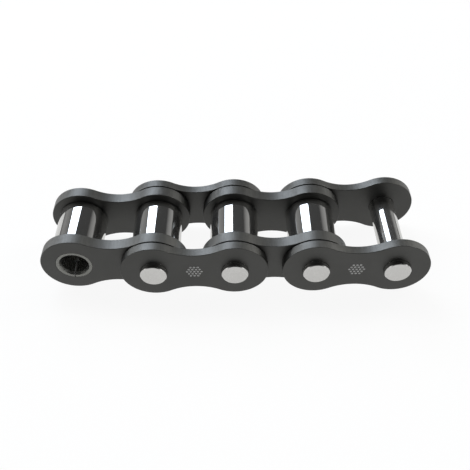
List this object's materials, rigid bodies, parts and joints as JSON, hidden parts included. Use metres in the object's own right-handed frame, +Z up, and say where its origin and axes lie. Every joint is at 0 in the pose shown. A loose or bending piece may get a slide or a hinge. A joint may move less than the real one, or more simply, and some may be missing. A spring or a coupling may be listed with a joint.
{
  "type": "roller chain section",
  "caption": "Short length of simplex roller chain for conveyors and drives, with waisted link plates, pressed pins, rolled bushes and free rollers.",
  "frame": {"origin": "on the axis of the free bush at the inner end of the chain, halfway between the link plates", "axes": "+X along the chain from the free bush to the bare pin, +Y along the pins from front to rear, +Z up the height of the link plates"},
  "size_m": [0.1224, 0.035, 0.0208],
  "materials": {
    "plate_steel": "blackened, satin",
    "bush_steel": "case-hardened, smooth",
    "roller_steel": "polished",
    "pin_steel": "ground, ends satin"
  },
  "bodies": {
    "inner_link_a": {"inner_plate_a_front": "plate_steel", "inner_plate_a_rear": "plate_steel", "bush_0": "bush_steel", "bush_1": "bush_steel"},
    "outer_link_b": {"outer_plate_b_front": "plate_steel", "outer_plate_b_rear": "plate_steel", "pin_1": "pin_steel", "pin_2": "pin_steel"},
    "inner_link_c": {"inner_plate_c_front": "plate_steel", "inner_plate_c_rear": "plate_steel", "bush_2": "bush_steel", "bush_3": "bush_steel"},
    "outer_link_d": {"outer_plate_d_front": "plate_steel", "outer_plate_d_rear": "plate_steel", "pin_3": "pin_steel", "pin_4": "pin_steel"},
    "roller_body_0": {"roller_0": "roller_steel"},
    "roller_body_1": {"roller_1": "roller_steel"},
    "roller_body_2": {"roller_2": "roller_steel"},
    "roller_body_3": {"roller_3": "roller_steel"}
  },
  "joints": [
    {"name": "pin_1_hinge", "type": "hinge", "parent": "inner_link_a", "child": "outer_link_b", "pos_m": [0.0254, 0, 0], "axis": [0, 1, 0], "range_deg": [-75, 75]},
    {"name": "pin_2_hinge", "type": "hinge", "parent": "outer_link_b", "child": "inner_link_c", "pos_m": [0.0508, 0, 0], "axis": [0, 1, 0], "range_deg": [-75, 75]},
    {"name": "pin_3_hinge", "type": "hinge", "parent": "inner_link_c", "child": "outer_link_d", "pos_m": [0.0762, 0, 0], "axis": [0, 1, 0], "range_deg": [-75, 75]},
    {"name": "roller_0_spin", "type": "hinge", "parent": "inner_link_a", "child": "roller_body_0", "pos_m": [0, 0, 0], "axis": [0, 1, 0], "continuous": true},
    {"name": "roller_1_spin", "type": "hinge", "parent": "inner_link_a", "child": "roller_body_1", "pos_m": [0.0254, 0, 0], "axis": [0, 1, 0], "continuous": true},
    {"name": "roller_2_spin", "type": "hinge", "parent": "inner_link_c", "child": "roller_body_2", "pos_m": [0.0508, 0, 0], "axis": [0, 1, 0], "continuous": true},
    {"name": "roller_3_spin", "type": "hinge", "parent": "inner_link_c", "child": "roller_body_3", "pos_m": [0.0762, 0, 0], "axis": [0, 1, 0], "continuous": true}
  ]
}
